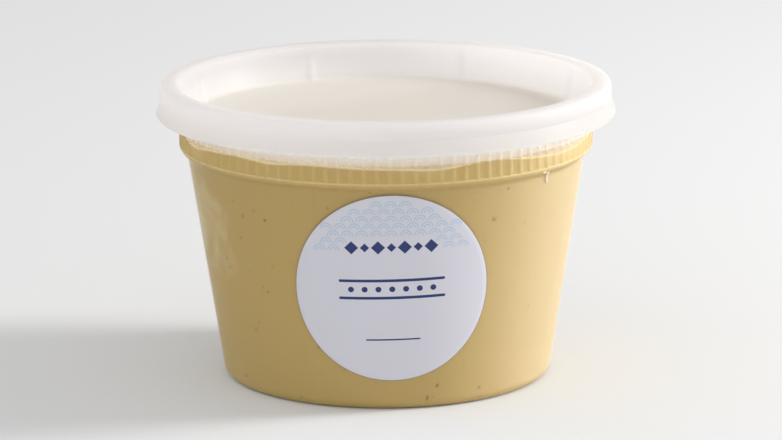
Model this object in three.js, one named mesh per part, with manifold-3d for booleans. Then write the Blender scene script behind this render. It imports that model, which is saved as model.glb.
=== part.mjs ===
// A round deli tub of hummus, shut with its press-on lid. Millimetres, +Z up.
// The origin is the centre of the tub's foot on the table, and the label faces -Y.
// Four pieces: the thin moulded tub, the dip that fills it, the lid, and the round label on the wall.
import * as THREE from "three";
import { mergeVertices } from "three/addons/utils/BufferGeometryUtils.js";
import Module from "manifold-3d";

const wasm = await Module();
wasm.setup();

// Tub: a drafted wall on a rounded foot ring, a shoulder, a fluted band and a rolled lip.
const WALL = 0.7;
const WALL_FOOT_RADIUS = 42.2;
const WALL_TOP_RADIUS = 50.6;
const WALL_TOP = 56.9;
const CORNER_RADIUS = 2.8;
const FOOT_RADIUS = WALL_FOOT_RADIUS - CORNER_RADIUS;
const FOOT_RING = 2.2;
const FOOT_CHAMFER = 0.8;
const FOOT_HEIGHT = 0.8;
const FLOOR = FOOT_HEIGHT + WALL;
const BAND_RADIUS = 52.4;
const BAND_FOOT = 59.5;
const BAND_TOP = 67.3;
const LIP_RADIUS = 56.2;
const LIP_INNER_RADIUS = 53.2;
const LIP_OVERHANG = 1.8;
const LIP_TOP = 74.7;
const LIP_DEPTH = 1.7;
const LIP_ROUND = 0.6;
const TUB_SEGMENTS = 90;

// Flutes: narrow upright ribs all round the band, the first just right of the front.
const FLUTES = 104;
const FIRST_FLUTE = THREE.MathUtils.degToRad(0.95);
const FLUTE_WIDTH = 1.3;
const FLUTE_DEPTH = 0.38;

// Lid: a sunken panel inside a leaning wall, a rounded rim, and a skirt that flares to its edge.
const HEIGHT = 75.8;
const LID_WALL = 0.6;
const PANEL_TOP = 66.4;
const PANEL_RADIUS = 50.6;
const PANEL_FILLET = 0.9;
const RIM_INNER_RADIUS = 52.6;
const RIM_INNER_ROUND = 0.8;
const RIM_RADIUS = 57.5;
const RIM_ROUND = 1.4;
const WAIST = 71.7;
const SKIRT_RADIUS = 58.5;
const SKIRT_WIDEST = 68.1;
const SKIRT_FOOT = 67.5;
const SKIRT_TUCK = 0.5;
const SNAP_BEAD = 0.5;
const LID_SEGMENTS = 72;

// Stacking lugs on the inside of the lid's leaning wall.
const LUGS = 8;
const FIRST_LUG = Math.PI / 8;
const LUG_WIDTH = 1.3;
const LUG_HEIGHT = 5;
const LUG_DEPTH = 0.5;

// Hummus: up to an uneven level just under the lid, with a low crown and a few lazy folds.
// Its line round the wall sags or swells at these turns from the front, given in degrees.
const GAP = 0.3;
const FILL_LEVEL = 63.55;
const CROWN = 0.7;
const FOLDS = 3;
const FOLD_HEIGHT = 0.25;
const FOLD_SWIRL = 5;
const SWELLS = [
  { turn: -110, rise: 0.4, spread: 18 },
  { turn: -82, rise: 0.9, spread: 8 },
  { turn: -67, rise: -0.8, spread: 6 },
  { turn: -46, rise: 0.5, spread: 8 },
  { turn: -33, rise: -0.25, spread: 5 },
  { turn: -20, rise: 0.6, spread: 10 },
  { turn: 14, rise: -0.5, spread: 9 },
  { turn: 29, rise: 1.1, spread: 9 },
  { turn: 60, rise: -1.1, spread: 16 },
  { turn: 118, rise: 0.5, spread: 20 },
  { turn: 165, rise: -0.8, spread: 16 },
];
const HIGHEST_FILL = PANEL_TOP - LID_WALL - GAP;
const FILL_SEGMENTS = 48;
const FILL_RINGS = 12;

// Label: a round sticker wrapped on the drafted wall, a little right of the front.
const LABEL_DIAMETER = 49.2;
const LABEL_HEIGHT = 32.4;
const LABEL_TURN = THREE.MathUtils.degToRad(1.6);
const LABEL_THICK = 0.25;
const LABEL_SEGMENTS = 44;
const LABEL_RINGS = 3;

const WELD = 1e-3;
const FRONT = -Math.PI / 2;
const FULL_TURN = 2 * Math.PI;

const point = (radius, height) => new THREE.Vector2(radius, height);

// Points along an arc of a profile, ends included.
function arc(radius, height, round, from, to, steps) {
  return Array.from({ length: steps + 1 }, (_, i) => {
    const angle = from + ((to - from) * i) / steps;
    return point(radius + round * Math.cos(angle), height + round * Math.sin(angle));
  });
}

// A profile moved sideways by a distance, to the left of its direction of travel.
function offset(profile, distance) {
  const leftOf = (i) => {
    const along = profile[i + 1].clone().sub(profile[i]).normalize();
    return point(-along.y, along.x);
  };
  return profile.map((p, i) => {
    const before = leftOf(Math.max(i - 1, 0));
    const after = leftOf(Math.min(i, profile.length - 2));
    const middle = before.clone().add(after).normalize();
    return p.clone().addScaledVector(middle, distance / middle.dot(after));
  });
}

// A closed profile turned about the upright axis.
function turned(profile, segments) {
  return new THREE.LatheGeometry(profile, segments).rotateX(Math.PI / 2);
}

// A closed geometry as a solid that can be joined to another.
function solid(geometry) {
  const bare = geometry.clone().deleteAttribute("normal").deleteAttribute("uv");
  const merged = mergeVertices(bare, WELD);
  const corners = merged.index.array;
  const kept = [];
  for (let i = 0; i < corners.length; i += 3) {
    const [a, b, c] = corners.slice(i, i + 3);
    if (a !== b && b !== c && c !== a) kept.push(a, b, c);
  }
  return new wasm.Manifold(
    new wasm.Mesh({
      numProp: 3,
      vertProperties: merged.attributes.position.array,
      triVerts: new Uint32Array(kept),
    }),
  );
}

function indexed(positions, index) {
  const geometry = new THREE.BufferGeometry();
  geometry.setAttribute("position", new THREE.Float32BufferAttribute(positions, 3));
  geometry.setIndex(index);
  geometry.computeVertexNormals();
  return geometry;
}

// Several solids joined into one geometry.
function joined([first, ...rest]) {
  const mesh = rest.reduce((whole, next) => whole.add(next), first).getMesh();
  return indexed(Array.from(mesh.vertProperties), Array.from(mesh.triVerts));
}

// The outside of the tub, from the foot ring's outer edge up to the top of the band.
function tubOutside() {
  const middle = (WALL_TOP + BAND_FOOT) / 2;
  const shoulder = new THREE.CubicBezierCurve(
    point(WALL_TOP_RADIUS, WALL_TOP),
    point(WALL_TOP_RADIUS, middle),
    point(BAND_RADIUS, middle),
    point(BAND_RADIUS, BAND_FOOT),
  );
  return [
    ...arc(FOOT_RADIUS, CORNER_RADIUS, CORNER_RADIUS, -Math.PI / 2, 0, 4),
    ...shoulder.getPoints(4),
    point(BAND_RADIUS, BAND_TOP),
  ];
}

// The inside of the same wall, from the middle of the floor up to the top of the band.
function tubInside() {
  const aboveTheFloor = tubOutside().slice(3);
  return [point(0, FLOOR), point(FOOT_RADIUS, FLOOR), ...offset(aboveTheFloor, WALL)];
}

// The rolled lip, from its outer lower edge over the top to its inner edge.
function lip() {
  const underLip = LIP_TOP - LIP_DEPTH;
  return [
    point(LIP_RADIUS - LIP_OVERHANG, underLip),
    point(LIP_RADIUS, underLip),
    ...arc(LIP_RADIUS - LIP_ROUND, LIP_TOP - LIP_ROUND, LIP_ROUND, 0, Math.PI / 2, 2),
    point(LIP_INNER_RADIUS + LIP_ROUND, LIP_TOP),
    point(LIP_INNER_RADIUS, LIP_TOP - LIP_ROUND),
  ];
}

// A thin ring that carries the flutes: three points of its outline for each.
function flutedRing() {
  const halfWidth = FLUTE_WIDTH / BAND_RADIUS / 2;
  const outline = [];
  for (let i = 0; i < FLUTES; i += 1) {
    const middle = FRONT + FIRST_FLUTE + (FULL_TURN * i) / FLUTES;
    for (const [turn, radius] of [
      [-halfWidth, BAND_RADIUS],
      [0, BAND_RADIUS + FLUTE_DEPTH],
      [halfWidth, BAND_RADIUS],
    ]) {
      outline.push(point(radius * Math.cos(middle + turn), radius * Math.sin(middle + turn)));
    }
  }
  const ring = new THREE.Shape(outline);
  ring.holes.push(new THREE.Path().absarc(0, 0, BAND_RADIUS - WALL / 2, 0, FULL_TURN));
  const depth = BAND_TOP - BAND_FOOT;
  const geometry = new THREE.ExtrudeGeometry(ring, { depth, bevelEnabled: false, curveSegments: 40 });
  return geometry.translate(0, 0, BAND_FOOT);
}

function tub() {
  const ringInner = FOOT_RADIUS - FOOT_RING;
  const profile = [
    point(0, FOOT_HEIGHT),
    point(ringInner - FOOT_CHAMFER, FOOT_HEIGHT),
    point(ringInner, 0),
    ...tubOutside(),
    ...lip(),
    ...tubInside().reverse(),
  ];
  return joined([solid(turned(profile, TUB_SEGMENTS)), solid(flutedRing())]);
}

// The lid's top side, from the middle of the panel out over the rim to the skirt's edge.
function lidTopside() {
  const innerRound = RIM_INNER_RADIUS + RIM_INNER_ROUND;
  return [
    point(0, PANEL_TOP),
    point(PANEL_RADIUS - PANEL_FILLET, PANEL_TOP),
    point(PANEL_RADIUS, PANEL_TOP + PANEL_FILLET),
    ...arc(innerRound, HEIGHT - RIM_INNER_ROUND, RIM_INNER_ROUND, Math.PI, Math.PI / 2, 2),
    ...arc(RIM_RADIUS - RIM_ROUND, HEIGHT - RIM_ROUND, RIM_ROUND, Math.PI / 2, 0, 4),
    point(RIM_RADIUS, WAIST),
    point(SKIRT_RADIUS, SKIRT_WIDEST),
    point(SKIRT_RADIUS - SKIRT_TUCK, SKIRT_FOOT),
  ];
}

// The underside follows the top side, with a bead inside the skirt that snaps under the tub's lip.
function lid() {
  const topside = lidTopside();
  const underside = offset(topside, -LID_WALL);
  const waist = topside.findIndex(({ y }) => y === WAIST);
  underside[waist].x -= SNAP_BEAD;
  return joined([solid(turned([...underside, ...topside.reverse()], LID_SEGMENTS)), ...lugs()]);
}

function lugs() {
  const wallFoot = PANEL_TOP + PANEL_FILLET;
  const lean = Math.atan((RIM_INNER_RADIUS - PANEL_RADIUS) / (HEIGHT - RIM_INNER_ROUND - wallFoot));
  const lug = new THREE.BoxGeometry(LUG_DEPTH * 2, LUG_WIDTH, LUG_HEIGHT)
    .translate(0, 0, LUG_HEIGHT / 2 - PANEL_FILLET)
    .rotateY(lean)
    .translate(PANEL_RADIUS, 0, wallFoot);
  return Array.from({ length: LUGS }, (_, i) => {
    const turn = FIRST_LUG + (FULL_TURN * i) / LUGS;
    return solid(lug.clone().rotateZ(turn));
  });
}

// How far the surface stands above its level at the wall, at an angle about the axis.
function swellAt(angle) {
  const heights = SWELLS.map(({ turn, rise, spread }) => {
    const apart = angle - FRONT - THREE.MathUtils.degToRad(turn);
    const nearest = Math.atan2(Math.sin(apart), Math.cos(apart));
    return rise * Math.exp(-((THREE.MathUtils.radToDeg(nearest) / spread) ** 2));
  });
  return heights.reduce((sum, height) => sum + height, 0);
}

// Height of the dip's surface at an angle and a share of the way out to the wall.
function fillHeight(share, angle) {
  const crown = CROWN * (1 - share ** 2);
  const folds = FOLD_HEIGHT * 4 * share * (1 - share) * Math.sin(FOLDS * angle + FOLD_SWIRL * share);
  const height = FILL_LEVEL + crown + folds + swellAt(angle) * share ** 3;
  return Math.min(height, HIGHEST_FILL);
}

// Rings of points up along the wall, then in over the surface, closed by the two middle points.
function hummus() {
  const wall = offset(tubInside().slice(1), GAP);
  const fillRadius = wall.pop().x;
  const rings = wall.map(({ x, y }) => () => [x, y]);
  for (let i = 0; i < FILL_RINGS; i += 1) {
    const share = 1 - i / FILL_RINGS;
    rings.push((angle) => [fillRadius * share, fillHeight(share, angle)]);
  }
  const positions = [];
  for (const ring of rings)
    for (let j = 0; j < FILL_SEGMENTS; j += 1) {
      const angle = (FULL_TURN * j) / FILL_SEGMENTS;
      const [radius, height] = ring(angle);
      positions.push(radius * Math.cos(angle), radius * Math.sin(angle), height);
    }
  positions.push(0, 0, FLOOR + GAP, 0, 0, fillHeight(0, 0));
  const floorMiddle = rings.length * FILL_SEGMENTS;
  const index = [];
  for (let j = 0; j < FILL_SEGMENTS; j += 1) {
    const next = (j + 1) % FILL_SEGMENTS;
    const innermost = floorMiddle - FILL_SEGMENTS;
    index.push(floorMiddle, next, j);
    index.push(innermost + j, innermost + next, floorMiddle + 1);
    for (let i = 0; i < rings.length - 1; i += 1)
      pushQuad(index, [j, next, next + FILL_SEGMENTS, j + FILL_SEGMENTS], i * FILL_SEGMENTS);
  }
  return indexed(positions, index);
}

// Two triangles over four corners that are listed round their face, all moved up by a start.
function pushQuad(index, [a, b, c, d], start = 0) {
  index.push(start + a, start + b, start + c, start + a, start + c, start + d);
}

// A place off the drafted wall: across runs round the wall's girth and up along its slope.
function offTheWall(across, up, distance) {
  const foot = point(WALL_FOOT_RADIUS, CORNER_RADIUS);
  const slope = point(WALL_TOP_RADIUS, WALL_TOP).sub(foot).normalize();
  const height = LABEL_HEIGHT + up * slope.y;
  const wallRadius = foot.x + ((height - foot.y) * slope.x) / slope.y;
  const angle = FRONT + LABEL_TURN + across / wallRadius;
  const radius = wallRadius + distance * slope.y;
  return [radius * Math.cos(angle), radius * Math.sin(angle), height - distance * slope.x];
}

// A disc of rings on the wall: its back face first, then its front face, then the edge between.
function label() {
  const positions = [];
  for (const distance of [GAP, GAP + LABEL_THICK]) {
    positions.push(...offTheWall(0, 0, distance));
    for (let ring = 1; ring <= LABEL_RINGS; ring += 1)
      for (let j = 0; j < LABEL_SEGMENTS; j += 1) {
        const reach = ((LABEL_DIAMETER / 2) * ring) / LABEL_RINGS;
        const angle = (FULL_TURN * j) / LABEL_SEGMENTS;
        positions.push(...offTheWall(reach * Math.cos(angle), reach * Math.sin(angle), distance));
      }
  }
  const front = LABEL_RINGS * LABEL_SEGMENTS + 1;
  const at = (ring, j) => 1 + (ring - 1) * LABEL_SEGMENTS + j;
  const index = [];
  for (let j = 0; j < LABEL_SEGMENTS; j += 1) {
    const next = (j + 1) % LABEL_SEGMENTS;
    index.push(0, at(1, next), at(1, j));
    index.push(front, front + at(1, j), front + at(1, next));
    for (let ring = 1; ring < LABEL_RINGS; ring += 1) {
      pushQuad(index, [at(ring, j), at(ring, next), at(ring + 1, next), at(ring + 1, j)]);
      pushQuad(index, [at(ring, next), at(ring, j), at(ring + 1, j), at(ring + 1, next)], front);
    }
    const [edge, nextEdge] = [at(LABEL_RINGS, j), at(LABEL_RINGS, next)];
    pushQuad(index, [edge, nextEdge, front + nextEdge, front + edge]);
  }
  return indexed(positions, index);
}

function piece(name, geometry, material) {
  const mesh = new THREE.Mesh(geometry, new THREE.MeshStandardMaterial({ metalness: 0, ...material }));
  mesh.name = name;
  return mesh;
}

const deliTub = new THREE.Group();
deliTub.add(
  piece("tub", tub(), { color: 0xf0ede6, roughness: 0.25, transparent: true, opacity: 0.3 }),
  piece("hummus", hummus(), { color: 0xc9a76a, roughness: 0.6 }),
  piece("lid", lid(), { color: 0xf1efec, roughness: 0.35, transparent: true, opacity: 0.7 }),
  piece("label", label(), { color: 0xe3e3ec, roughness: 0.5 }),
);

export default deliTub;
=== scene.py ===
"""A shut deli tub of hummus: the clear tub, the dip in it, the milky lid and the round label."""

import math
import random

import bmesh
import bpy
from mathutils import Euler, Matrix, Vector


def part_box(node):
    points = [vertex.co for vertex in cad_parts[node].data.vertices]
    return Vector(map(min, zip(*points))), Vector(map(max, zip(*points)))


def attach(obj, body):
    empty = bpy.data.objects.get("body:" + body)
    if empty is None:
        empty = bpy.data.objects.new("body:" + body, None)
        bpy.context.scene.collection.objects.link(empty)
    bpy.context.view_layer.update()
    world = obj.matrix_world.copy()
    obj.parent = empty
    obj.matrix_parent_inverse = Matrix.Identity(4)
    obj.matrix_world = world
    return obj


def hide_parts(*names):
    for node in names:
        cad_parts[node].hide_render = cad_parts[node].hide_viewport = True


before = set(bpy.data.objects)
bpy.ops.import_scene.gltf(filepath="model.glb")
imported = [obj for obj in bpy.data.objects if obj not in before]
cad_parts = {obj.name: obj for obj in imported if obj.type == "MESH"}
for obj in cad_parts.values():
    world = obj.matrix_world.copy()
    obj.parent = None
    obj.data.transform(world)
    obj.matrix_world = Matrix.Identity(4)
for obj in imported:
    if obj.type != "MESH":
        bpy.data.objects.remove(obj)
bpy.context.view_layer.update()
bpy.ops.object.select_all(action="DESELECT")

# Studio
# A pale matt table that fills the view, one tall window of soft light low on the right, and an
# even pale room all round. A low wide card beside the window shows as a sheen on the tub alone.

mm = 0.001


def lay(tree, kind, sockets=None, **options):
    """Adds a shader node, sets its options, and fills or wires its sockets."""
    node = tree.nodes.new(kind)
    for name, value in options.items():
        setattr(node, name, value)
    for name, value in (sockets or {}).items():
        if isinstance(value, bpy.types.NodeSocket):
            tree.links.new(value, node.inputs[name])
        else:
            node.inputs[name].default_value = value
    return node


def surface_place(tree):
    """Where a point of the surface lies on its piece."""
    return lay(tree, "ShaderNodeTexCoord").outputs["Object"]


def noise(tree, place, scale, detail, **more):
    """Soft clouds over the surface, as a number round a half."""
    sockets = {"Vector": place, "Scale": scale, "Detail": detail, **more}
    return lay(tree, "ShaderNodeTexNoise", sockets).outputs["Fac"]


def reach_along(tree, place, way):
    """How far a place lies along a direction."""
    return lay(tree, "ShaderNodeVectorMath", {0: place, 1: way}, operation="DOT_PRODUCT").outputs["Value"]


def ramp(tree, value, start, end, low=0.0, high=1.0):
    """Goes from low to high while a value goes from start to end."""
    sockets = {"Value": value, "From Min": start, "From Max": end, "To Min": low, "To Max": high}
    return lay(tree, "ShaderNodeMapRange", sockets).outputs["Result"]


def blend(tree, share, first, second):
    """Goes from one colour to another by a share."""
    sockets = {"Factor": share, "A": first, "B": second}
    return lay(tree, "ShaderNodeMix", sockets, data_type="RGBA").outputs["Result"]


def new_group(name, inputs, outputs):
    """An empty node group with named sockets, and the sockets at its two ends."""
    group = bpy.data.node_groups.new(name, "ShaderNodeTree")
    for way, sockets in (("INPUT", inputs), ("OUTPUT", outputs)):
        for socket, kind in sockets.items():
            group.interface.new_socket(name=socket, in_out=way, socket_type=kind)
    return group, lay(group, "NodeGroupInput").outputs, lay(group, "NodeGroupOutput").inputs


def new_material(name, shader_sockets):
    """A material whose Principled shader has these plain values."""
    material = bpy.data.materials.new(name)
    material.use_nodes = True
    shader = material.node_tree.nodes["Principled BSDF"]
    for socket, value in shader_sockets.items():
        shader.inputs[socket].default_value = value
    return material, material.node_tree, shader


mottle, given, made = new_group(
    "mottle",
    {
        "Place": "NodeSocketVector",
        "Scale": "NodeSocketFloat",
        "Detail": "NodeSocketFloat",
        "One Tone": "NodeSocketColor",
        "Other Tone": "NodeSocketColor",
    },
    {"Colour": "NodeSocketColor"},
)
patches = noise(mottle, given["Place"], given["Scale"], given["Detail"])
mottle.links.new(blend(mottle, patches, given["One Tone"], given["Other Tone"]), made["Colour"])


def mottled(tree, shader, scale, detail, one_tone, other_tone):
    """Lets a shader's colour wander between two tones."""
    sockets = {
        "Place": surface_place(tree),
        "Scale": scale,
        "Detail": detail,
        "One Tone": one_tone,
        "Other Tone": other_tone,
    }
    colour = lay(tree, "ShaderNodeGroup", sockets, node_tree=mottle).outputs["Colour"]
    tree.links.new(colour, shader.inputs["Base Color"])


table_width = 8.0
bpy.ops.mesh.primitive_plane_add(size=table_width)
table = bpy.context.object
table.name = "table"
table_board, tree, board = new_material("table_board", {"Roughness": 0.75})
mottled(tree, board, 2.5, 3, (0.79, 0.789, 0.79, 1), (0.81, 0.809, 0.81, 1))
table.data.materials.append(table_board)

brighter_side = (-0.7, -0.7, 0)
room = bpy.data.worlds.new("room")
room.use_nodes = True
tree = room.node_tree
direction = lay(tree, "ShaderNodeTexCoord").outputs["Generated"]
side = ramp(tree, reach_along(tree, direction, brighter_side), -1.0, 1.0)
walls = blend(tree, side, (0.47, 0.473, 0.477, 1), (0.96, 0.967, 0.973, 1))
tree.links.new(walls, tree.nodes["Background"].inputs["Color"])
bpy.context.scene.world = room

lamp_distance = 1.28


def hang_lamp(name, turn, rise, width, tall, power):
    """A soft oblong lamp that faces the tub, so many degrees behind its right and above it."""
    turn, rise = math.radians(turn), math.radians(rise)
    place = lamp_distance * Vector(
        (math.cos(rise) * math.cos(turn), math.cos(rise) * math.sin(turn), math.sin(rise))
    )
    bpy.ops.object.light_add(type="AREA", location=place)
    lamp = bpy.context.object
    lamp.name = name
    lamp.rotation_euler = place.to_track_quat("Z", "Y").to_euler()
    lamp.data.shape = "RECTANGLE"
    lamp.data.size = width
    lamp.data.size_y = tall
    lamp.data.energy = power
    return lamp


window = hang_lamp("window", turn=6, rise=26, width=0.28, tall=1.0, power=14.6)
window.data.color = (1.0, 0.985, 0.965)
card = hang_lamp("card", turn=13, rise=3, width=1.2, tall=0.16, power=64)
card.visible_diffuse = False
card.visible_transmission = False

aim = Vector((0, 0, 38 * mm))
camera_distance = 1.1
camera_above = math.radians(12.95)
camera_roll = math.radians(-0.4)
view_width = 782
aim_off_middle = (-4.5, 4.0)
focal_pixels = 4284.5
bpy.ops.object.camera_add()
camera = bpy.context.object
camera.location = aim + camera_distance * Vector((0, -math.cos(camera_above), math.sin(camera_above)))
upright = Euler((math.pi / 2 - camera_above, 0, 0)).to_matrix()
camera.rotation_euler = (upright @ Euler((0, 0, camera_roll)).to_matrix()).to_euler()
camera.data.sensor_width = 36
camera.data.lens = camera.data.sensor_width * focal_pixels / view_width
camera.data.shift_x = -aim_off_middle[0] / view_width
camera.data.shift_y = aim_off_middle[1] / view_width
bpy.context.scene.camera = camera
bpy.context.scene.view_settings.view_transform = "Standard"

# Tub
# Thin clear polypropylene, moulded in one piece: a foot ring, a drafted wall, a shoulder, a band
# of narrow upright ribs and a rolled lip, drawn up the outside and down the inside. Fog clouds it
# above the dip, and pale lines painted on the ribs' crests and on the bead at the band's foot stand
# for the highlights that they catch.

tub_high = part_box("tub")[1]
front = -math.pi / 2
wall = 0.7 * mm
foot_height = 0.8 * mm
foot_ring = (37.2 * mm, 0.0)
foot_ring_round = 0.3 * mm
corner_middle = 39.4 * mm
corner_round = 2.8 * mm
wall_foot = (corner_middle + corner_round, corner_round)
wall_top = (50.6 * mm, 56.9 * mm)
wall_lean = math.atan2(wall_top[0] - wall_foot[0], wall_top[1] - wall_foot[1])
shoulder_steps = 6
band_radius = 52.4 * mm
band_foot = 59.5 * mm
band_top = 67.3 * mm
bead = 0.25 * mm
bead_foot = band_foot + 0.1 * mm
bead_top = band_foot + 0.4 * mm
ribs = 104
rib_depth = 0.38 * mm
rib_run_out = 0.5 * mm
rib_foot = band_foot + rib_run_out
rib_top = band_top - rib_run_out
rib_rise = (1.0, 0.6)
first_rib = math.radians(0.95)
columns_per_rib = 8
lip_radius = 56.2 * mm
lip_inside = 53.2 * mm
lip_neck = lip_radius - 1.8 * mm
lip_top = tub_high.z
lip_under = lip_top - 1.7 * mm
lip_roll = 0.6 * mm
lip_edge_round = 0.2 * mm
fill_level = 63.55 * mm
slack = 0.02 * mm


def near(value, wanted):
    """Whether a length is the wanted one."""
    return abs(value - wanted) < slack


def pick_places(piece, wanted):
    """In edit mode, selects the corners whose place passes a test."""
    bpy.ops.mesh.select_mode(type="VERT")
    bpy.ops.mesh.select_all(action="DESELECT")
    mesh = bmesh.from_edit_mesh(piece.data)
    for corner in mesh.verts:
        corner.select_set(wanted(corner.co))
    mesh.select_flush_mode()
    bmesh.update_edit_mesh(piece.data)


def pick_ring(piece, ring):
    """In edit mode, selects the edges that run round at one radius and height."""
    pick_places(piece, lambda place: near(math.hypot(place.x, place.y), ring[0]) and near(place.z, ring[1]))
    bpy.ops.mesh.select_mode(type="EDGE")


def start_piece(name):
    """Names the primitive just added, lays its place into its mesh and opens it for editing."""
    piece = bpy.context.object
    piece.name = name
    bpy.ops.object.transform_apply(location=True, rotation=True, scale=True)
    bpy.ops.object.mode_set(mode="EDIT")
    return piece


def draw_profile(name, profile, columns, turn=0.0):
    """A disc whose edge is extruded from one radius and height to the next; left in edit mode."""
    (radius, height), *rest = profile
    bpy.ops.mesh.primitive_circle_add(
        vertices=columns, radius=radius, fill_type="TRIFAN", location=(0, 0, height), rotation=(0, 0, turn)
    )
    piece = start_piece(name)
    pick_ring(piece, (radius, height))
    for new_radius, new_height in rest:
        bpy.ops.mesh.extrude_edges_move(TRANSFORM_OT_translate={"value": (0, 0, new_height - height)})
        wider = new_radius / radius
        bpy.ops.transform.resize(value=(wider, wider, 1), center_override=(0, 0, new_height))
        radius, height = new_radius, new_height
    return piece


def round_ring(piece, ring, size, steps):
    """Rounds off one corner of the profile all the way round."""
    pick_ring(piece, ring)
    bpy.ops.mesh.bevel(offset=size, segments=steps, affect="EDGES")


def face_out_and_smooth(piece, sharp):
    """Leaves edit mode with every face outwards, and turns under so many degrees shaded smooth."""
    bpy.ops.mesh.select_all(action="SELECT")
    bpy.ops.mesh.normals_make_consistent(inside=False)
    bpy.ops.object.mode_set(mode="OBJECT")
    bpy.ops.object.shade_smooth_by_angle(angle=math.radians(sharp))


def foot_corner(inset, floor, steps=7):
    """Radii and heights up the round corner at the wall's foot, a distance in from its outside."""
    size = corner_round - inset
    turns = [math.pi / 2 * step / steps for step in range(steps + 1)]
    return [(corner_middle + size * math.sin(turn), floor + size * (1 - math.cos(turn))) for turn in turns]


def shoulder(inset, share):
    """Radius and height on the swell from the wall to the band, a distance in from its outside."""
    swell = share * share * (3 - 2 * share)
    rise = (1 - share) ** 3 * wall_top[1] + share**3 * band_foot
    rise += 3 * share * (1 - share) * (wall_top[1] + band_foot) / 2
    return wall_top[0] + (band_radius - wall_top[0]) * swell - inset, rise


shoulder_shares = [step / shoulder_steps for step in range(shoulder_steps + 1)]
tub = draw_profile(
    "clear_tub",
    [
        (foot_ring[0] - foot_height, foot_height),
        foot_ring,
        *foot_corner(0, 0.0),
        *[shoulder(0, share) for share in shoulder_shares],
        (band_radius + bead, bead_foot),
        (band_radius + bead, bead_top),
        (band_radius, rib_foot),
        (band_radius, rib_top),
        (band_radius, band_top),
        (lip_neck, lip_under),
        (lip_radius, lip_under),
        (lip_radius, lip_top),
        (lip_inside, lip_top),
        (band_radius - wall, band_top),
        *[shoulder(wall, share) for share in reversed(shoulder_shares)],
        *reversed(foot_corner(wall, foot_height + wall)),
    ],
    ribs * columns_per_rib,
    turn=front + first_rib,
)
bpy.ops.mesh.edge_face_add()
round_ring(tub, (lip_radius, lip_top), lip_roll, steps=3)
round_ring(tub, (lip_inside, lip_top), lip_roll, steps=3)
round_ring(tub, (lip_radius, lip_under), lip_edge_round, steps=2)
round_ring(tub, foot_ring, foot_ring_round, steps=2)


def off_the_crest(place):
    """How many columns a corner of the band lies away from the nearest rib's crest."""
    turn = math.atan2(place.y, place.x) - front - first_rib
    share = turn * ribs / math.tau
    return round(abs(share - round(share)) * columns_per_rib)


def on_rib(place, columns):
    """Whether a corner lies on the band's outside, this many columns from the crest of a rib."""
    on_band = near(math.hypot(place.x, place.y), band_radius)
    along_rib = rib_foot - slack < place.z < rib_top + slack
    return on_band and along_rib and off_the_crest(place) == columns


# A rib's crest stands out by its whole depth, and the columns beside it by a share of it.
for columns, share in enumerate(rib_rise):
    pick_places(tub, lambda place: on_rib(place, columns))
    prouder = 1 + share * rib_depth / band_radius
    bpy.ops.transform.resize(value=(prouder, prouder, 1), center_override=(0, 0, 0))
face_out_and_smooth(tub, sharp=50)

moulded, given, made = new_group(
    "moulded_skin",
    {"Place": "NodeSocketVector", "Smoothest": "NodeSocketFloat", "Roughest": "NodeSocketFloat"},
    {"Roughness": "NodeSocketFloat", "Height": "NodeSocketFloat"},
)
flow = noise(moulded, given["Place"], 22, 1)
scuffs = noise(moulded, given["Place"], 260, 4)
moulded.links.new(ramp(moulded, scuffs, 0.35, 0.7, given["Smoothest"], given["Roughest"]), made["Roughness"])
moulded.links.new(flow, made["Height"])


def moulded_surface(tree, shader, smoothest, roughest, ripple):
    """Gives a plastic the slightly uneven gloss and the faint ripple of a moulding."""
    sockets = {"Place": surface_place(tree), "Smoothest": smoothest, "Roughest": roughest}
    skin = lay(tree, "ShaderNodeGroup", sockets, node_tree=moulded).outputs
    bump = lay(tree, "ShaderNodeBump", {"Height": skin["Height"], "Strength": ripple, "Distance": mm})
    tree.links.new(skin["Roughness"], shader.inputs["Roughness"])
    tree.links.new(bump.outputs["Normal"], shader.inputs["Normal"])


def from_axis(tree, place):
    """How far a place lies from the tub's axis."""
    flat = lay(tree, "ShaderNodeVectorMath", {0: place, 1: (1, 1, 0)}, operation="MULTIPLY")
    return lay(tree, "ShaderNodeVectorMath", {0: flat.outputs[0]}, operation="LENGTH").outputs["Value"]


def add_times(tree, value, times, base):
    """A value times a number, on top of another value."""
    return lay(tree, "ShaderNodeMath", {0: value, 1: times, 2: base}, operation="MULTIPLY_ADD").outputs[0]


def mix_shaders(tree, share, first, second):
    """Goes from one shader to another by a share."""
    return lay(tree, "ShaderNodeMixShader", {"Fac": share, 1: first.outputs[0], 2: second.outputs[0]})


def finish_with(tree, shader):
    """Makes a shader the one that the surface shows."""
    tree.links.new(shader.outputs[0], tree.nodes["Material Output"].inputs["Surface"])


clear_plastic, tree, plastic = new_material(
    "clear_plastic",
    {
        "Base Color": (0.97, 0.97, 0.965, 1),
        "IOR": 1.03,
        "Transmission Weight": 0.95,
        "Coat IOR": 1.5,
        "Coat Roughness": 0.6,
    },
)
moulded_surface(tree, plastic, smoothest=0.05, roughest=0.12, ripple=0.05)
place = surface_place(tree)
height = lay(tree, "ShaderNodeSeparateXYZ", {"Vector": place}).outputs["Z"]
gloss = ramp(tree, height, band_foot, band_foot + mm, low=0.8, high=0.3)
tree.links.new(gloss, plastic.inputs["Coat Weight"])

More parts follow.
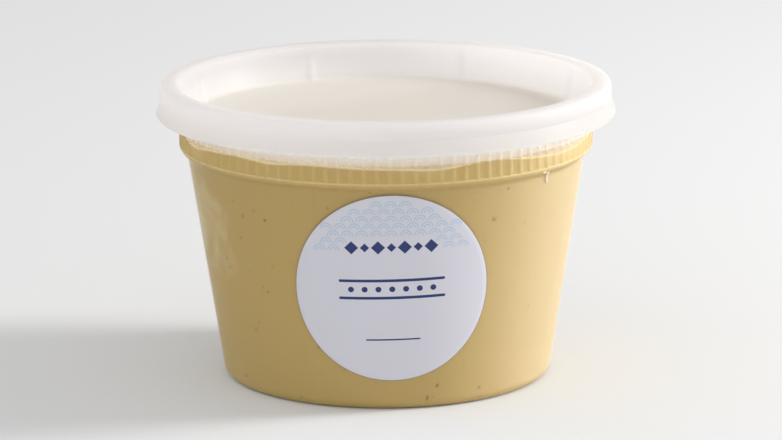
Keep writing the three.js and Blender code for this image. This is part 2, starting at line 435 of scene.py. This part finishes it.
fog_top = fill_level + 1.05 * mm
bead_middle = (bead_foot + bead_top) / 2
bead_reach = 0.28 * mm
radius = from_axis(tree, place)
# Painted highlights: a pale diffuse share on the ribs' crests and on the bead, for the light that they
# catch.
crest_glint_and_milk = ramp(tree, radius, band_radius - 0.4 * mm, band_radius + rib_depth, low=0.02, high=0.25)
fogged = ramp(tree, height, fill_level + 0.25 * mm, fog_top, high=0.35)
painted_bead_glint = lay(tree, "ShaderNodeMath", {0: height, 1: bead_middle, 2: bead_reach}, operation="COMPARE")
fog_and_painted_glint_share = lay(tree, "ShaderNodeMath", {0: crest_glint_and_milk, 1: fogged}, operation="ADD")
fog_and_painted_glint_share = add_times(tree, painted_bead_glint.outputs[0], 0.2, fog_and_painted_glint_share.outputs[0])
# Yellow under the dip's line for the painted highlights on the ribs and bead, cream above it for the fog.
above_line = ramp(tree, height, fill_level - 0.15 * mm, fog_top)
fog_and_glint_colour = blend(tree, above_line, (1.0, 0.77, 0.38, 1), (0.96, 0.86, 0.71, 1))
milk = lay(tree, "ShaderNodeBsdfDiffuse", {"Color": fog_and_glint_colour})
seen = mix_shaders(tree, fog_and_painted_glint_share, plastic, milk)

# The lamps' rays and the light off matt things pass the clear wall unbent.
clear = lay(tree, "ShaderNodeBsdfTransparent", {"Color": (0.95, 0.95, 0.945, 1)})
ray = lay(tree, "ShaderNodeLightPath")
for kind in ("Is Diffuse Ray", "Is Shadow Ray"):
    seen = mix_shaders(tree, ray.outputs[kind], seen, clear)
finish_with(tree, seen)
tub.data.materials.append(clear_plastic)
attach(tub, "root")
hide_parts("tub")
satin = bpy.data.collections.new("satin")
satin.objects.link(tub)
card.light_linking.receiver_collection = satin

# Hummus
# Smooth chickpea paste, spooned in up to an uneven line just under the lid. Its top and a strip just
# under the line are painted paler: painted light, less of it on the right, where the lamp lights them.
# It lies against the wall all round, so its side stands in the middle of the wall's thickness. A
# smeared pocket on the left wets the plastic less, and shows a little lighter.

into_wall = wall / 2
foot_skin = 0.05 * mm
foot_inset = 0.6 * into_wall
crown = 0.7 * mm
folds = 3
fold_height = 0.25 * mm
fold_swirl = 5
# Each swell of the line lies so many degrees right of the front, mm high and degrees wide.
swells = [
    (-110, 0.4, 18),
    (-82, 0.9, 8),
    (-67, -0.8, 6),
    (-46, 0.5, 8),
    (-33, -0.25, 5),
    (-20, 0.6, 10),
    (14, -0.5, 9),
    (29, 1.1, 9),
    (60, -1.1, 16),
    (118, 0.5, 20),
    (165, -0.8, 16),
]
surface_rings = 30
painted_band_depth = 0.45 * mm
fill_radius = band_radius - into_wall
edge_round = 0.5 * mm
edge_drop = 0.1 * mm
edge_rise = 0.15 * mm
less_painted_light_on_right = 0.4
fill_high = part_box("hummus")[1]


def swell_at(angle):
    """How far the dip's line at the wall sags or swells, at an angle about the axis."""
    rise = 0.0
    for turn, height, spread in swells:
        apart = angle - front - math.radians(turn)
        nearest = math.degrees(math.atan2(math.sin(apart), math.cos(apart)))
        rise += height * mm * math.exp(-((nearest / spread) ** 2))
    return rise


def surface_lift(place):
    """Height of the dip's surface above its level, over or under a place."""
    share = min(math.hypot(place.x, place.y) / fill_radius, 1.0)
    angle = math.atan2(place.y, place.x)
    lift = crown * (1 - share**2)
    lift += fold_height * 4 * share * (1 - share) * math.sin(folds * angle + fold_swirl * share)
    return min(lift + swell_at(angle) * share**3, fill_high.z - fill_level)


hummus = draw_profile(
    "hummus_fill",
    [
        (foot_ring[0] + into_wall, foot_height + into_wall),
        (foot_ring[0] + 2 * into_wall, foot_skin),
        *foot_corner(foot_inset, foot_skin),
        *[shoulder(into_wall, share) for share in shoulder_shares],
        (fill_radius, fill_level - painted_band_depth),
        (fill_radius, fill_level - edge_drop),
        (fill_radius - edge_drop, fill_level + edge_rise),
        (fill_radius - edge_round, fill_level + edge_rise),
        *[(fill_radius * (1 - ring / surface_rings), fill_level) for ring in range(1, surface_rings)],
    ],
    columns=360,
)
bpy.ops.mesh.merge(type="CENTER")
surface = bmesh.from_edit_mesh(hummus.data)
for corner in surface.verts:
    above = (corner.co.z - rib_foot) / (fill_level - rib_foot)
    if above > 0:
        corner.co.z += min(above, 1.0) * surface_lift(corner.co)
bmesh.update_edit_mesh(hummus.data)
face_out_and_smooth(hummus, sharp=50)
# Painted light: each corner gets a share of paler colour on the dip's top and along its line, standing for
# the light that falls there under the lid, less on the right.
painted_top_light = hummus.data.attributes.new("painted_top_light", "FLOAT", "POINT")
for corner in hummus.data.vertices:
    below_line = fill_level + surface_lift(corner.co) - corner.co.z
    to_right = max(corner.co.x / fill_radius, 0.0)
    top_light_share = min(max(1 - below_line / painted_band_depth, 0.0), 1.0)
    painted_top_light.data[corner.index].value = top_light_share * (1 - less_painted_light_on_right * to_right)

paste, tree, body = new_material(
    "hummus_paste",
    {
        "Roughness": 0.5,
        "Specular IOR Level": 0.2,
        "Subsurface Weight": 0.3,
        "Subsurface Radius": (1.0, 0.6, 0.3),
        "Subsurface Scale": 1.2 * mm,
    },
)
place = surface_place(tree)
thicker = noise(tree, place, 55, 4, Roughness=0.6)
tan = blend(tree, thicker, (0.452, 0.292, 0.05, 1), (0.487, 0.321, 0.062, 1))

pocket_middle = (-46 * mm, -11 * mm, 42.5 * mm)
pocket_size = (12 * mm, 16 * mm, 12 * mm)
to_pocket = lay(tree, "ShaderNodeVectorMath", {0: place, 1: pocket_middle}, operation="SUBTRACT")
in_sizes = lay(tree, "ShaderNodeVectorMath", {0: to_pocket.outputs[0], 1: pocket_size}, operation="DIVIDE")
off_middle = lay(tree, "ShaderNodeVectorMath", {0: in_sizes.outputs[0]}, operation="LENGTH")
smears = noise(tree, place, 95, 5, Roughness=0.6, Distortion=0.8)
ragged = add_times(tree, smears, 3.4, off_middle.outputs["Value"])
not_wet = ramp(tree, ragged, 1.9, 3.0, low=0.37, high=0.0)
colour = blend(tree, not_wet, tan, (0.76, 0.63, 0.35, 1))

# Painted light: the paste turns paler where the mesh marks its lit top.
painted_light_share = lay(tree, "ShaderNodeAttribute", attribute_name="painted_top_light").outputs["Fac"]
tree.links.new(blend(tree, painted_light_share, colour, (0.86, 0.7, 0.4, 1)), body.inputs["Base Color"])
grain = noise(tree, place, 900, 3)
bump = lay(tree, "ShaderNodeBump", {"Height": grain, "Strength": 0.2, "Distance": 0.2 * mm})
tree.links.new(bump.outputs["Normal"], body.inputs["Normal"])

# What the paste casts on the lid and the table is paler than its face.
cast = blend(tree, painted_light_share, (0.62, 0.53, 0.36, 1), (0.86, 0.74, 0.5, 1))
plain = lay(tree, "ShaderNodeBsdfDiffuse", {"Color": cast})
bounced = lay(tree, "ShaderNodeLightPath").outputs["Is Diffuse Ray"]
finish_with(tree, mix_shaders(tree, bounced, body, plain))
hummus.data.materials.append(paste)
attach(hummus, "root")
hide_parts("hummus")

# Flecks
# Ground cumin and bits of chickpea skin in the paste, most of them small and faint. They lie flat
# against the wall, just proud of the paste's side, and lean as the wall does.

# Each fleck that stands out lies so many degrees right of the front and mm up, with its size in mm.
fleck_places = [
    (-47, 48, 0.61),
    (-42, 50, 0.44),
    (-38, 48, 0.54),
    (-49, 42, 0.43),
    (-59, 35, 0.42),
    (-37, 36, 0.36),
    (-40, 29, 0.41),
    (-42, 30, 0.37),
    (-46, 20, 0.45),
    (-48, 18, 0.55),
    (-58, 4, 0.52),
    (-17, 53, 0.36),
    (-27, 36, 0.38),
    (-31, 2, 0.43),
    (-23, 16, 0.36),
    (37, 56, 0.47),
    (33, 48.6, 0.85),
    (45, 46, 0.45),
    (30, 44, 0.3),
    (54, 31, 0.4),
    (52, 23, 0.5),
    (26, 11, 0.28),
    (17, 6, 0.53),
    (13.6, 2.8, 0.68),
    (33, 4, 0.44),
    (39, 11, 0.3),
    (34, 1.7, 0.4),
]
fleck_widths = (0.8, 1.2)
fleck_flatness = 0.24
fleck_lengths = (0.7, 1.0)
scattered_flecks = 170
scattered_heights = (1.5, 58)
scattered_sizes = (0.2, 0.34)
draw = random.Random(7)
for _ in range(scattered_flecks):
    turn = draw.uniform(-180, 180)
    fleck_places.append((turn, draw.uniform(*scattered_heights), draw.uniform(*scattered_sizes)))


def paste_radius(height):
    """Radius of the paste's side at a height."""
    if height > wall_top[1]:
        return shoulder(into_wall, min((height - wall_top[1]) / (band_foot - wall_top[1]), 1))[0]
    size = corner_round - foot_inset
    corner_top = foot_skin + size
    if height > corner_top:
        share = (height - corner_top) / (wall_top[1] - corner_top)
        return corner_middle + size + (wall_top[0] - into_wall - corner_middle - size) * share
    return corner_middle + math.sqrt(size**2 - (corner_top - height) ** 2)


def around(radius, turn, height):
    """A place at a radius and a height, so many degrees to the right of the front."""
    angle = front + math.radians(turn)
    return radius * math.cos(angle), radius * math.sin(angle), height


bpy.ops.object.select_all(action="DESELECT")
for number, (turn, height, size) in enumerate(fleck_places):
    pose = Euler((wall_lean, draw.uniform(0, math.pi), math.radians(turn)), "YXZ").to_matrix().to_euler()
    bpy.ops.mesh.primitive_ico_sphere_add(
        subdivisions=1,
        radius=size * mm,
        location=around(paste_radius(height * mm), turn, height * mm),
        rotation=pose,
        scale=(draw.uniform(*fleck_widths), fleck_flatness, draw.uniform(*fleck_lengths)),
    )
    if number == 0:
        flecks = start_piece("flecks")
face_out_and_smooth(flecks, sharp=60)

fleck_brown, tree, husk = new_material("fleck_brown", {"Roughness": 0.6, "Specular IOR Level": 0.1})
kinds = ramp(tree, noise(tree, surface_place(tree), 160, 0), 0.35, 0.65)
brown = blend(tree, kinds, (0.25, 0.155, 0.008, 1), (0.34, 0.22, 0.02, 1))
tree.links.new(brown, husk.inputs["Base Color"])
flecks.data.materials.append(fleck_brown)
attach(flecks, "root")

# Drip
# A drip of the same paste on the tub's outside. It ran down from the foot of the band when the tub
# was filled, and dried on the wall as a thin crust.

# Each bulge of it lies so many degrees right of the front and mm up, half so wide and tall in mm.
drip_parts = [
    (49.4, 58.6, 0.8, 0.32),
    (51.7, 58.0, 0.5, 0.5),
    (52.1, 56.9, 0.42, 0.9),
    (52.5, 55.8, 0.44, 0.75),
]
drip_thick = 0.1


def wall_radius(height):
    """Radius of the straight wall's outside at a height."""
    return wall_foot[0] + (height - wall_foot[1]) * math.tan(wall_lean)


bpy.ops.object.select_all(action="DESELECT")
for number, (turn, height, wide, tall) in enumerate(drip_parts):
    above = (height * mm - wall_top[1]) / (band_foot - wall_top[1])
    radius = shoulder(0, above)[0] if above > 0 else wall_radius(height * mm)
    bpy.ops.mesh.primitive_uv_sphere_add(
        segments=16,
        ring_count=10,
        radius=mm,
        location=around(radius, turn, height * mm),
        rotation=(wall_lean, 0, math.radians(turn)),
        scale=(wide, drip_thick, tall),
    )
    if number == 0:
        drip = start_piece("drip")
face_out_and_smooth(drip, sharp=60)
dried_paste, tree, crust = new_material("dried_paste", {"Roughness": 0.45})
mottled(tree, crust, 900, 2, (0.7, 0.55, 0.3, 1), (0.8, 0.66, 0.42, 1))
drip.data.materials.append(dried_paste)
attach(drip, "root")

# Lid
# Milky polypropylene, pressed over the lip: a sunken panel, a leaning wall with eight stacking
# lugs, a rounded rim and a flaring skirt. Damp from the dip fogs the panel at the back left, and
# the rim lets more light through towards the back.

lid_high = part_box("lid")[1]
lid_wall = 0.6 * mm
panel_top = 66.4 * mm
panel_radius = 50.6 * mm
panel_rings = (18 * mm, 36 * mm, 49 * mm)
panel_corner_round = 0.9 * mm
rim_top = lid_high.z
rim_inside = 52.6 * mm
rim_inside_round = 0.8 * mm
rim_radius = 57.5 * mm
rim_round = 1.4 * mm
waist = 71.7 * mm
waist_notch = (0.15 * mm, 0.2 * mm)
skirt_radius = lid_high.x
skirt_widest = 68.1 * mm
skirt_foot = 67.5 * mm
skirt_tuck = 0.5 * mm
lugs = 8
first_lug = math.radians(22.5)
lug_foot = panel_top + 0.1 * mm
lug_top = 72.2 * mm
lug_run_out = 0.5 * mm
lug_depth = 0.35 * mm
lug_half_columns = 1.2
plug_inside = panel_radius - 1.2 * mm
plug_depth = 1.1 * mm
lid_columns = 480


def leaning(height):
    """A ring on the leaning wall between the panel and the rim."""
    share = (height - panel_top) / (rim_top - panel_top)
    return panel_radius + (rim_inside - panel_radius) * share, height


lid = draw_profile(
    "milky_lid",
    [
        *[(radius, panel_top) for radius in panel_rings],
        (panel_radius, panel_top),
        leaning(lug_top),
        leaning(lug_top + lug_run_out),
        (rim_inside, rim_top),
        (rim_radius, rim_top),
        (rim_radius, waist + waist_notch[1]),
        (rim_radius - waist_notch[0], waist),
        (skirt_radius, skirt_widest),
        (skirt_radius - skirt_tuck, skirt_foot),
    ],
    lid_columns,
)
round_ring(lid, (rim_radius, rim_top), rim_round, steps=6)
round_ring(lid, (rim_inside, rim_top), rim_inside_round, steps=5)
round_ring(lid, (panel_radius, panel_top), panel_corner_round, steps=5)


def on_lug(place):
    """Whether a corner of the leaning wall lies within a lug."""
    radius = math.hypot(place.x, place.y)
    turn = (math.atan2(place.y, place.x) - first_lug) * lugs / math.tau
    off_middle = abs(turn - round(turn)) * lid_columns / lugs
    up_the_wall = lug_foot < place.z < lug_top + lug_run_out / 2
    return off_middle < lug_half_columns and up_the_wall and radius < rim_inside


pick_places(lid, on_lug)
inner = 1 - lug_depth / panel_radius
bpy.ops.transform.resize(value=(inner, inner, 1), center_override=(0, 0, 0))
bpy.ops.mesh.select_all(action="SELECT")
bpy.ops.mesh.normals_make_consistent(inside=False)
bpy.ops.object.mode_set(mode="OBJECT")
bpy.ops.object.modifier_add(type="SOLIDIFY")
solidify = lid.modifiers[-1]
solidify.thickness = lid_wall
solidify.offset = -1
solidify.use_even_offset = True
bpy.ops.object.modifier_apply(modifier=solidify.name)


def under_the_corner(place):
    """Whether a corner lies on the underside where the panel turns up into the wall."""
    return math.hypot(place.x, place.y) > plug_inside and place.z < panel_top - lid_wall / 2


bpy.ops.object.mode_set(mode="EDIT")
pick_places(lid, under_the_corner)
bpy.ops.transform.translate(value=(0, 0, -plug_depth))
bpy.ops.object.mode_set(mode="OBJECT")
bpy.ops.object.shade_smooth_by_angle(angle=math.radians(40))

milky_plastic, tree, milk = new_material("milky_plastic", {"IOR": 1.49, "Specular IOR Level": 0.35})
moulded_surface(tree, milk, smoothest=0.3, roughest=0.4, ripple=0.015)
place = surface_place(tree)
on_rim = ramp(tree, from_axis(tree, place), panel_radius - mm, rim_inside)
body_colour = blend(tree, on_rim, (0.99, 0.95, 0.885, 1), (0.99, 0.98, 0.975, 1))
tree.links.new(body_colour, milk.inputs["Base Color"])

fogged_side = (-0.63, 0.78, 0)
fog_foot = 18 * mm
fog_full = 28 * mm
fog_drift = 8 * mm
drift = noise(tree, place, 40, 2)
wavy = add_times(tree, drift, fog_drift, reach_along(tree, place, fogged_side))
sheer = ramp(tree, wavy, fog_foot, fog_full, low=0.45, high=0.33)
to_back = lay(tree, "ShaderNodeSeparateXYZ", {"Vector": place}).outputs["Y"]
thin_rim = ramp(tree, to_back, 0.0, panel_radius, low=0.76, high=0.93)
sheerness = lay(tree, "ShaderNodeMix", {"Factor": on_rim, "A": sheer, "B": thin_rim}, data_type="FLOAT")
glow = lay(tree, "ShaderNodeBsdfTranslucent", {"Color": (1.0, 0.985, 0.987, 1)})
scatter = mix_shaders(tree, sheerness.outputs["Result"], milk, glow)
finish_with(tree, mix_shaders(tree, 0.04, scatter, lay(tree, "ShaderNodeBsdfTransparent")))
lid.data.materials.append(milky_plastic)
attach(lid, "root")
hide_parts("lid")

# Label
# A round sticker of semi-gloss paper, smoothed by hand on to the sloping wall, a little right of
# the front and a hair proud of the plastic.

label_radius = 24.6 * mm
label_height = 32.4 * mm
label_turn = math.radians(1.6)
label_under = 0.03 * mm
label_thick = 0.2 * mm
label_edge_round = 0.06 * mm
label_rings = 18
label_columns = 144


def stick_on_wall(piece, tilt=0.0):
    """Wraps a flat piece round the wall: its X runs round the tub and its Y up the slope."""
    for corner in piece.data.vertices:
        across = corner.co.x * math.cos(tilt) - corner.co.y * math.sin(tilt)
        up = corner.co.x * math.sin(tilt) + corner.co.y * math.cos(tilt)
        off = corner.co.z
        height = label_height + up * math.cos(wall_lean)
        radius = wall_radius(height)
        angle = front + label_turn + across / radius
        radius += off * math.cos(wall_lean)
        corner.co = (radius * math.cos(angle), radius * math.sin(angle), height - off * math.sin(wall_lean))
    piece.data.update()


radii = [label_radius * ring / label_rings for ring in range(1, label_rings + 1)]
label = draw_profile(
    "paper_label",
    [(radius, label_under) for radius in radii] + [(radius, label_thick) for radius in reversed(radii)],
    label_columns,
)
bpy.ops.mesh.edge_face_add()
round_ring(label, (label_radius, label_thick), label_edge_round, steps=2)
face_out_and_smooth(label, sharp=40)
stick_on_wall(label)

label_paper, tree, sheet = new_material("label_paper", {"Specular IOR Level": 0.4})
mottled(tree, sheet, 70, 2, (0.62, 0.617, 0.68, 1), (0.655, 0.65, 0.715, 1))
fibres = noise(tree, surface_place(tree), 700, 4)
tree.links.new(ramp(tree, fibres, 0.0, 1.0, low=0.42, high=0.58), sheet.inputs["Roughness"])
bump = lay(tree, "ShaderNodeBump", {"Height": fibres, "Strength": 0.15, "Distance": 0.05 * mm})
tree.links.new(bump.outputs["Normal"], sheet.inputs["Normal"])
label.data.materials.append(label_paper)
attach(label, "root")
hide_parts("label")

# Label edge shadow
# A thin ring of mottled dark brown just round the label's edge: a painted shadow, standing for the shade
# that the label's edge casts on the wall and on the dip under it.

edge_shadow_inside = label_radius - 0.3 * mm
edge_shadow_radius = label_radius + 0.22 * mm
edge_shadow_under = 0.02 * mm
edge_shadow_thick = 0.07 * mm
edge_shadow_ring = draw_profile(
    "label_edge_shadow",
    [(edge_shadow_inside, edge_shadow_under), (edge_shadow_radius, edge_shadow_under), (edge_shadow_radius, edge_shadow_thick), (edge_shadow_inside, edge_shadow_thick)],
    label_columns,
)
bpy.ops.mesh.edge_face_add()
face_out_and_smooth(edge_shadow_ring, sharp=40)
stick_on_wall(edge_shadow_ring)
# Painted shadow: dark brown for the shade at the label's edge.
painted_edge_shadow, tree, edge_shadow_shader = new_material("painted_edge_shadow", {"Roughness": 0.6})
mottled(tree, edge_shadow_shader, 90, 3, (0.17, 0.125, 0.06, 1), (0.42, 0.31, 0.15, 1))
edge_shadow_ring.data.materials.append(painted_edge_shadow)
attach(edge_shadow_ring, "root")

# Print
# Ink on the label: rows of pale blue arches hanging in its top, a navy row of lozenges, a pair of
# navy rules with dots between them, and a fine line lower down. Each colour is one thin layer.

ink_thick = 0.02 * mm
print_tilt = math.radians(1.0)
bend_step = 1.5 * mm


def flat_shape(sides, radius, x, y):
    """A flat many-sided shape at a place on the label."""
    bpy.ops.mesh.primitive_circle_add(vertices=sides, radius=radius, fill_type="NGON", location=(x, y, 0))
    bpy.ops.object.transform_apply(location=True, rotation=True, scale=True)
    return bpy.context.object


def bar(length, thick, y):
    """A bar with round ends across the label, cut every few millimetres so that it can bend."""
    shape = flat_shape(24, thick / 2, 0, y)
    bpy.ops.object.mode_set(mode="EDIT")
    reach = (length - thick) / 2
    for side in (-1, 1):
        pick_places(shape, lambda place: side * place.x > 0.001 * mm)
        bpy.ops.transform.translate(value=(side * reach, 0, 0))
    cuts = int(length / bend_step)
    for cut in range(1, cuts):
        bpy.ops.mesh.select_all(action="SELECT")
        x = -length / 2 + length * cut / cuts
        bpy.ops.mesh.bisect(plane_co=(x, 0, 0), plane_no=(1, 0, 0))
    bpy.ops.object.mode_set(mode="OBJECT")
    return shape


def arch(radius, line, x, y):
    """Half a ring that stands on its feet."""
    shape = flat_shape(28, radius, x, y)
    bpy.ops.object.mode_set(mode="EDIT")
    bpy.ops.mesh.select_all(action="SELECT")
    bpy.ops.mesh.inset(thickness=line)
    bpy.ops.mesh.delete(type="FACE")
    bpy.ops.mesh.select_all(action="SELECT")
    bpy.ops.mesh.bisect(plane_co=(x, y, 0), plane_no=(0, 1, 0), clear_inner=True)
    bpy.ops.object.mode_set(mode="OBJECT")
    return shape


def print_layer(name, shapes, ink):
    """Joins flat shapes into one layer of ink on the label's face."""
    bpy.ops.object.select_all(action="DESELECT")
    for shape in shapes:
        shape.select_set(True)
    layer = shapes[0]
    bpy.context.view_layer.objects.active = layer
    bpy.ops.object.join()
    layer.name = name
    bpy.ops.object.mode_set(mode="EDIT")
    bpy.ops.mesh.select_all(action="SELECT")
    bpy.ops.transform.translate(value=(0, 0, label_thick - ink_thick / 2))
    bpy.ops.mesh.extrude_region_move(TRANSFORM_OT_translate={"value": (0, 0, ink_thick)})
    face_out_and_smooth(layer, sharp=30)
    stick_on_wall(layer, print_tilt)
    layer.data.materials.append(ink)
    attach(layer, "root")


def new_ink(name, thin, full):
    """A printing ink that lies a little unevenly."""
    material, tree, shader = new_material(name, {"Roughness": 0.5, "Specular IOR Level": 0.4})
    mottled(tree, shader, 500, 3, thin, full)
    return material


arch_lines = ((1.6 * mm, 0.3 * mm), (0.9 * mm, 0.28 * mm))
arch_pitch = 3.6 * mm
arch_rows = 7
arch_row_pitch = 1.9 * mm
arch_row_reach = 7
arches_top = 21.6 * mm
arches_foot = 13 * mm
arches_fall = 2.9 * mm
label_margin = 1.9 * mm
arches = []
for row in range(arch_rows):
    y = arches_top - row * arch_row_pitch
    for step in range(-arch_row_reach - row % 2, arch_row_reach + 1):
        x = (step + (row % 2) / 2) * arch_pitch
        lowest = arches_foot - arches_fall * (x / (4 * arch_pitch)) ** 4
        if math.hypot(x, y) < label_radius - label_margin and y > lowest:
            arches += [arch(radius, line, x, y) for radius, line in arch_lines]
print_layer("pale_print", arches, new_ink("pale_blue_ink", (0.47, 0.57, 0.69, 1), (0.42, 0.53, 0.68, 1)))

lozenge_sizes = (1.15 * mm, 1.75 * mm)
lozenge_pitch = 3.3 * mm
lozenge_row = 11 * mm
rule_size = (26.5 * mm, 0.75 * mm)
rule_rows = (2.2 * mm, -2.4 * mm)
dot_radius = 0.75 * mm
dot_pitch = 3.4 * mm
dot_row = -0.1 * mm
fine_line_size = (13.5 * mm, 0.4 * mm)
fine_line_row = -13.6 * mm
steps = range(-3, 4)
navy = new_ink("navy_ink", (0.022, 0.04, 0.17, 1), (0.015, 0.03, 0.14, 1))
lozenges = [flat_shape(4, lozenge_sizes[step % 2], step * lozenge_pitch, lozenge_row) for step in steps]
rules = [bar(*rule_size, row) for row in rule_rows]
dots = [flat_shape(20, dot_radius, step * dot_pitch, dot_row) for step in steps]
fine_line = bar(*fine_line_size, fine_line_row)
print_layer("navy_print", lozenges + rules + dots + [fine_line], navy)
